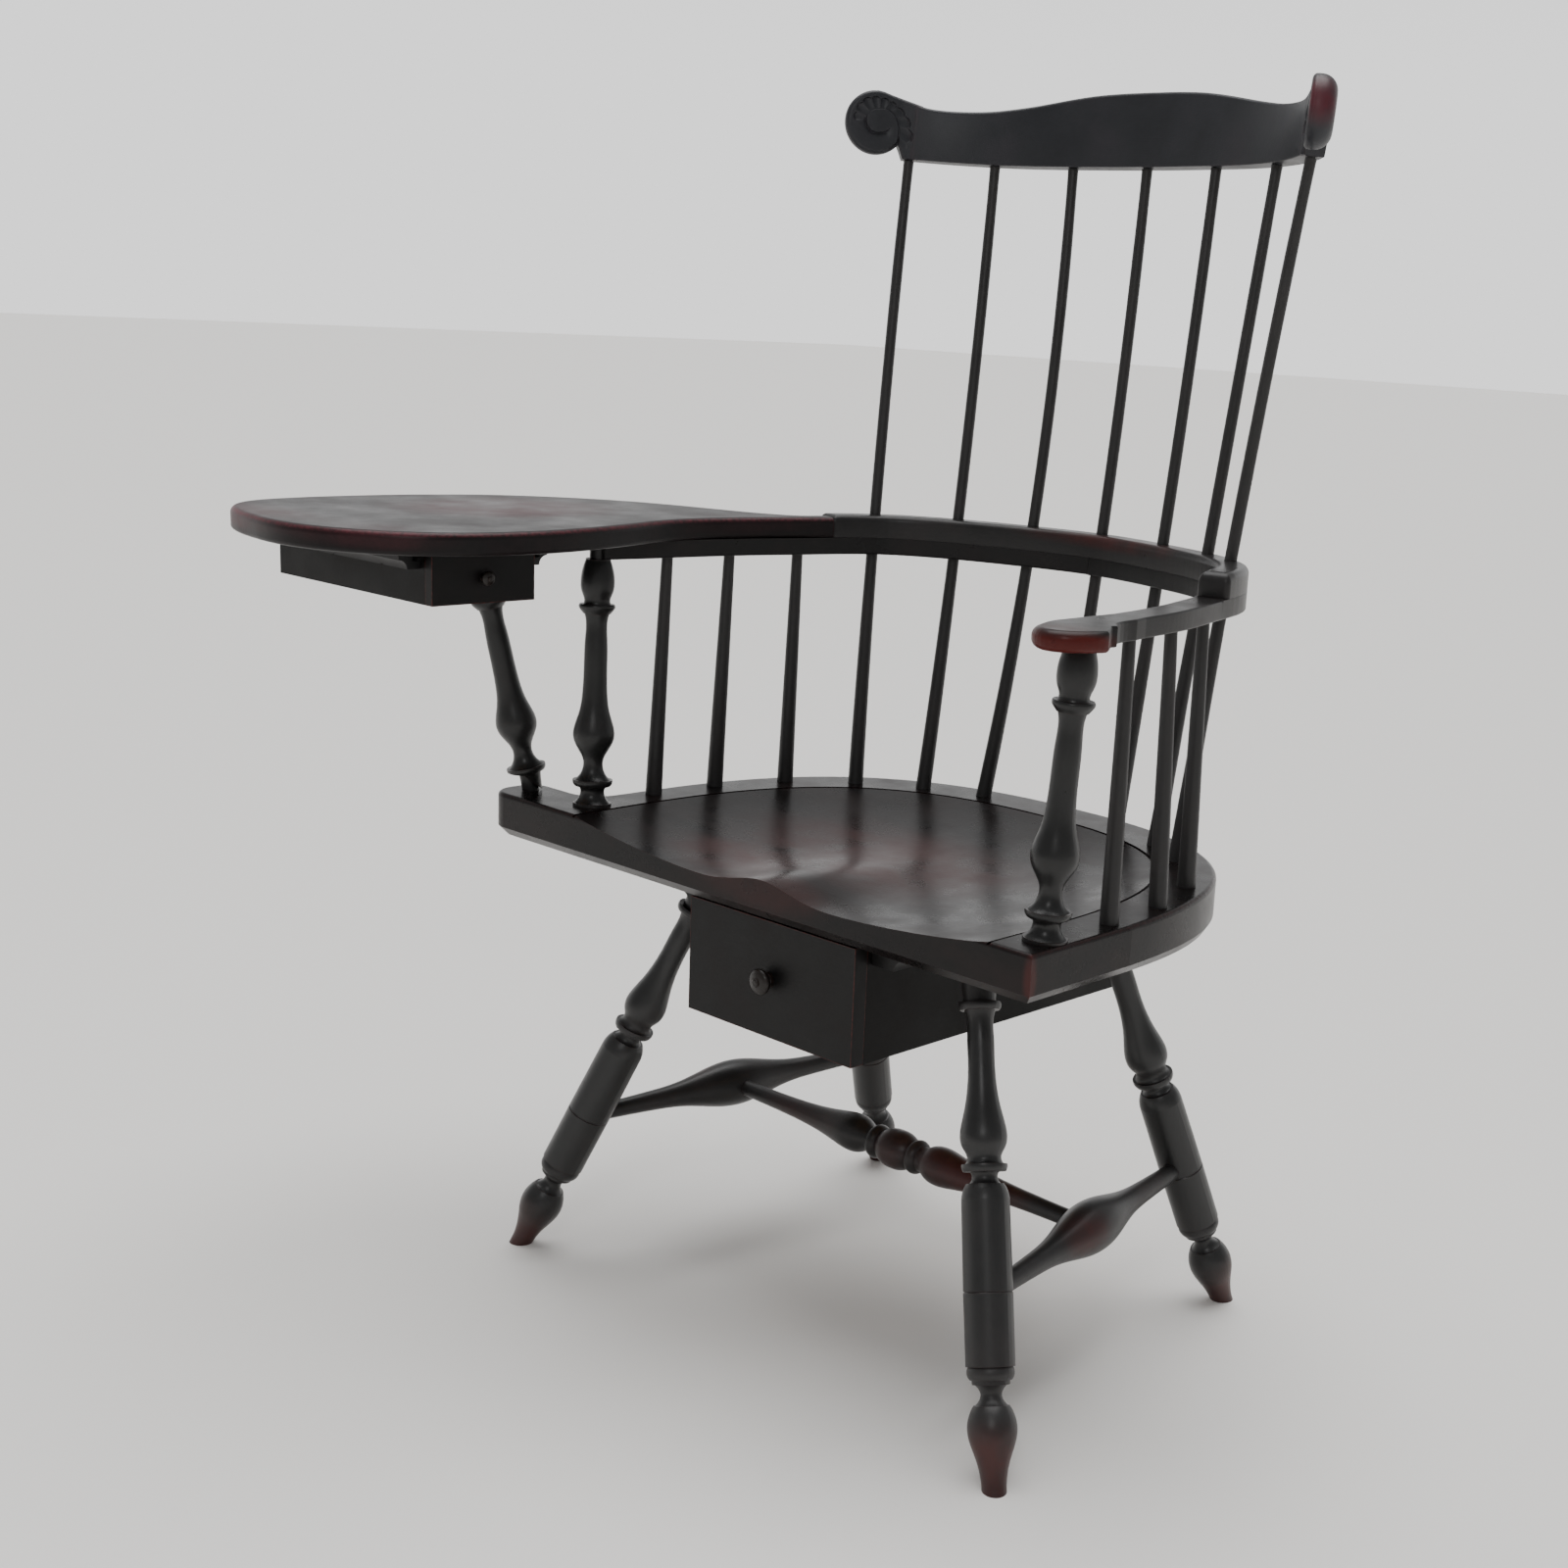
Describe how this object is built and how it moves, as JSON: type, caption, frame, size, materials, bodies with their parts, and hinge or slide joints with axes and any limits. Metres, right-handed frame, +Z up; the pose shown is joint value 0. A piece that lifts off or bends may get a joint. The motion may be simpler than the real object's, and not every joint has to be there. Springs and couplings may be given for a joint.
{
  "type": "writing arm windsor chair",
  "caption": "Windsor armchair with turned legs, spindle back, carved comb, broad writing tablet on one arm and drawers below seat and tablet.",
  "frame": {"origin": "middle of the bounding box's bottom, on the floor that the feet stand on", "axes": "+Z up, -Y the way the sitter faces, +X to the sitter's left, away from the writing tablet"},
  "size_m": [0.8666, 0.7142, 1.1156],
  "materials": {
    "arm_paint": "satin black milk paint, rubbed red at the hand",
    "post_paint": "satin black milk paint, rubbed through to dark red on the beads",
    "comb_paint": "satin worn black milk paint over dark red",
    "leg_paint": "satin black milk paint, rubbed through to dark red on the turnings",
    "long_spindle_paint": "satin black milk paint over dark red",
    "stretcher_paint": "satin black milk paint, rubbed through to dark red on the swells",
    "seat_paint": "satin worn black milk paint over dark red",
    "runner_paint": "dull black paint",
    "screw_steel": "dark oxidised steel",
    "drawer_inside_wood": "bare aged softwood",
    "drawer_front_paint": "satin black milk paint with red wear on the edges",
    "knob_paint": "satin black paint over dark red",
    "drawer_side_paint": "dull black paint",
    "short_spindle_paint": "satin black milk paint over dark red",
    "tablet_paint": "satin worn black milk paint over dark red"
  },
  "bodies": {
    "chair_frame": {"arm_crest": "arm_paint", "arm_post_left": "post_paint", "arm_post_right": "post_paint", "arm_rail_left": "arm_paint", "arm_rail_right": "arm_paint", "comb_rail": "comb_paint", "leg_front_left": "leg_paint", "leg_front_right": "leg_paint", "leg_rear_left": "leg_paint", "leg_rear_right": "leg_paint", "long_spindle_1": "long_spindle_paint", "long_spindle_2": "long_spindle_paint", "long_spindle_3": "long_spindle_paint", "long_spindle_4": "long_spindle_paint", "long_spindle_5": "long_spindle_paint", "long_spindle_6": "long_spindle_paint", "long_spindle_7": "long_spindle_paint", "medial_stretcher": "stretcher_paint", "seat": "seat_paint", "seat_cleat_left": "runner_paint", "seat_cleat_right": "runner_paint", "seat_cleat_screws": "screw_steel", "short_spindle_left_1": "short_spindle_paint", "short_spindle_left_2": "short_spindle_paint", "short_spindle_left_3": "short_spindle_paint", "short_spindle_right_1": "short_spindle_paint", "short_spindle_right_2": "short_spindle_paint", "short_spindle_right_3": "short_spindle_paint", "side_stretcher_left": "stretcher_paint", "side_stretcher_right": "stretcher_paint", "tablet_cleat_front": "runner_paint", "tablet_cleat_rear": "runner_paint", "tablet_cleat_screws": "screw_steel", "tablet_post": "post_paint", "writing_tablet": "tablet_paint"},
    "seat_drawer": {"seat_drawer_back": "drawer_inside_wood", "seat_drawer_bottom": "drawer_inside_wood", "seat_drawer_front": "drawer_front_paint", "seat_drawer_knob": "knob_paint", "seat_drawer_side_left": "drawer_side_paint", "seat_drawer_side_right": "drawer_side_paint", "seat_drawer_strip_left": "drawer_side_paint", "seat_drawer_strip_right": "drawer_side_paint"},
    "tablet_drawer": {"tablet_drawer_back": "drawer_inside_wood", "tablet_drawer_bottom": "drawer_inside_wood", "tablet_drawer_front": "drawer_front_paint", "tablet_drawer_knob": "knob_paint", "tablet_drawer_side_front": "drawer_side_paint", "tablet_drawer_side_rear": "drawer_side_paint", "tablet_drawer_strip_front": "drawer_side_paint", "tablet_drawer_strip_rear": "drawer_side_paint"}
  },
  "joints": [
    {"name": "seat_drawer_slide", "type": "slide", "parent": "chair_frame", "child": "seat_drawer", "axis": [0, -1, 0], "range_m": [0, 0.25]},
    {"name": "tablet_drawer_slide", "type": "slide", "parent": "chair_frame", "child": "tablet_drawer", "axis": [0.9999, -0.0131, 0], "range_m": [0, 0.16]}
  ]
}
